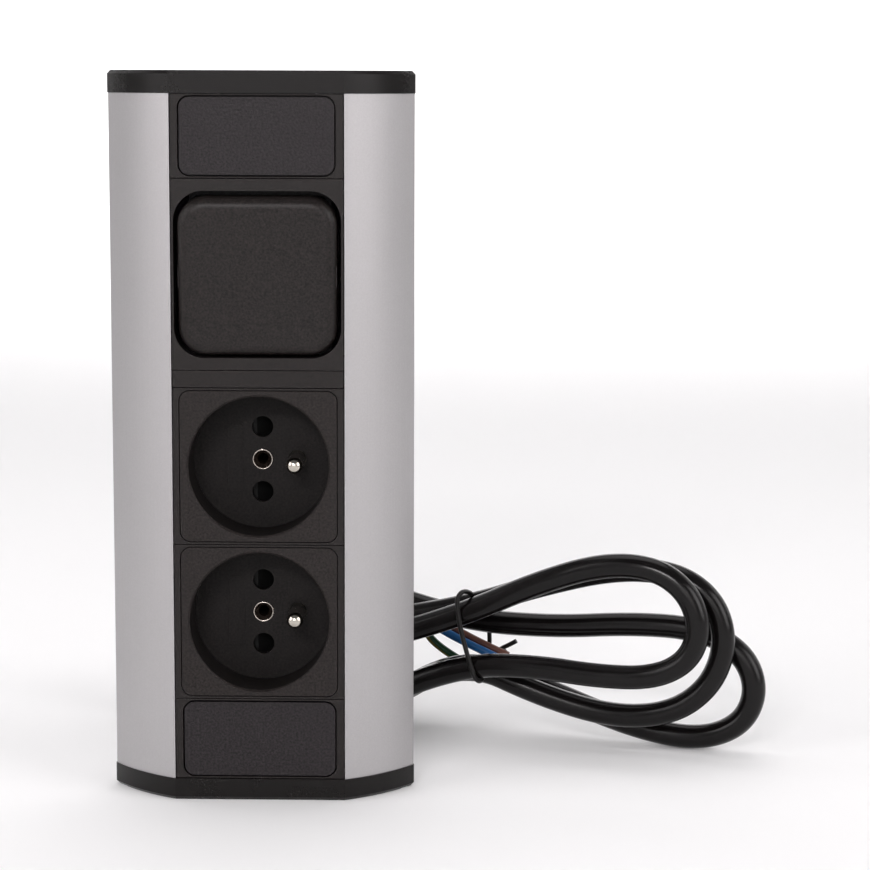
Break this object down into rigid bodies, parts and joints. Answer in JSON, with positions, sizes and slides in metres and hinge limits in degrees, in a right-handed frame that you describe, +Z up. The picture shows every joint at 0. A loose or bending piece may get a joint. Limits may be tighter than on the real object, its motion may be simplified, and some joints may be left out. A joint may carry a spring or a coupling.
{
  "type": "furniture socket",
  "caption": "Corner-mounted socket column: round-fronted aluminium profile with black end caps, earth-pin sockets, a rocker switch, blank covers and a tied hank of lead.",
  "frame": {"origin": "bottom centre of the box round the column without its lead, on the face it stands on", "axes": "+Z up along the column, the sockets look towards -Y, +X to the right seen from the front"},
  "size_m": [0.2014, 0.1323, 0.209],
  "materials": {
    "anodised_aluminium": "satin anodised extrusion",
    "cap_plastic": "moulded black plastic, lightly polished",
    "frame_plastic": "fine matte black plastic",
    "cover_plastic": "grained black plastic",
    "rocker_plastic": "satin black plastic",
    "socket_plastic": "satin black plastic",
    "inner_plastic": "glass-filled black plastic",
    "shutter_plastic": "smooth black plastic",
    "plated_metal": "nickel plated",
    "contact_brass": "stamped brass",
    "screw_steel": "zinc plated steel",
    "spring_steel": "bright spring wire",
    "cord_pvc": "glossy black PVC sheath",
    "tie_plastic": "plastic covered tie wire",
    "core_brown_pvc": "brown PVC insulation",
    "core_blue_pvc": "blue PVC insulation",
    "core_earth_pvc": "green and yellow PVC insulation"
  },
  "bodies": {
    "column": {"body_profile": "anodised_aluminium", "bottom_end_cap": "cap_plastic", "top_end_cap": "cap_plastic", "bottom_cap_screws": "screw_steel", "top_cap_screws": "screw_steel", "lower_blank_frame": "frame_plastic", "lower_blank_cover": "cover_plastic", "upper_blank_frame": "frame_plastic", "upper_blank_cover": "cover_plastic", "spacer_strip": "frame_plastic", "switch_frame": "frame_plastic", "switch_housing": "inner_plastic", "switch_pivot_terminal": "contact_brass", "switch_fixed_contact": "contact_brass", "strain_relief": "cord_pvc", "cord_hank": "cord_pvc", "cord_tie": "tie_plastic", "core_brown": "core_brown_pvc", "core_blue": "core_blue_pvc", "core_earth": "core_earth_pvc", "lower_socket_frame": "frame_plastic", "lower_socket_cover": "socket_plastic", "lower_socket_base": "inner_plastic", "lower_eyelet": "plated_metal", "lower_earth_pin": "plated_metal", "lower_earth_contact": "contact_brass", "lower_live_contact": "contact_brass", "lower_neutral_contact": "contact_brass", "lower_terminal_screws": "screw_steel", "lower_shutter_spring": "spring_steel", "upper_socket_frame": "frame_plastic", "upper_socket_cover": "socket_plastic", "upper_socket_base": "inner_plastic", "upper_eyelet": "plated_metal", "upper_earth_pin": "plated_metal", "upper_earth_contact": "contact_brass", "upper_live_contact": "contact_brass", "upper_neutral_contact": "contact_brass", "upper_terminal_screws": "screw_steel", "upper_shutter_spring": "spring_steel", "wire_neutral_feed": "core_blue_pvc", "wire_neutral_link": "core_blue_pvc", "wire_earth_feed": "core_earth_pvc", "wire_earth_link": "core_earth_pvc", "wire_live_feed": "core_brown_pvc", "wire_live_switched": "core_brown_pvc", "wire_live_link": "core_brown_pvc"},
    "rocker": {"switch_rocker": "rocker_plastic", "switch_spring": "spring_steel", "switch_plunger": "inner_plastic"},
    "contact_lever": {"switch_contact_lever": "contact_brass"},
    "lower_shutter": {"lower_shutter": "shutter_plastic"},
    "upper_shutter": {"upper_shutter": "shutter_plastic"}
  },
  "joints": [
    {"name": "rocker_press", "type": "hinge", "parent": "column", "child": "rocker", "pos_m": [0, -0.01151, 0.152], "axis": [-1, 0, 0], "range_deg": [0, 7]},
    {"name": "contact_rock", "type": "hinge", "parent": "column", "child": "contact_lever", "pos_m": [0, 0.00501, 0.152], "axis": [1, 0, 0], "range_deg": [0, 12]},
    {"name": "lower_shutter_slide", "type": "slide", "parent": "column", "child": "lower_shutter", "axis": [-1, 0, 0], "range_m": [0, 0.0076], "stiffness_N_per_m": 120, "springref_m": -0.004, "deforming": ["lower_shutter_spring"]},
    {"name": "upper_shutter_slide", "type": "slide", "parent": "column", "child": "upper_shutter", "axis": [-1, 0, 0], "range_m": [0, 0.0076], "stiffness_N_per_m": 120, "springref_m": -0.004, "deforming": ["upper_shutter_spring"]}
  ],
  "couplings": [
    {"joint": "contact_rock", "follows": "rocker_press", "ratio": 1.7143}
  ]
}
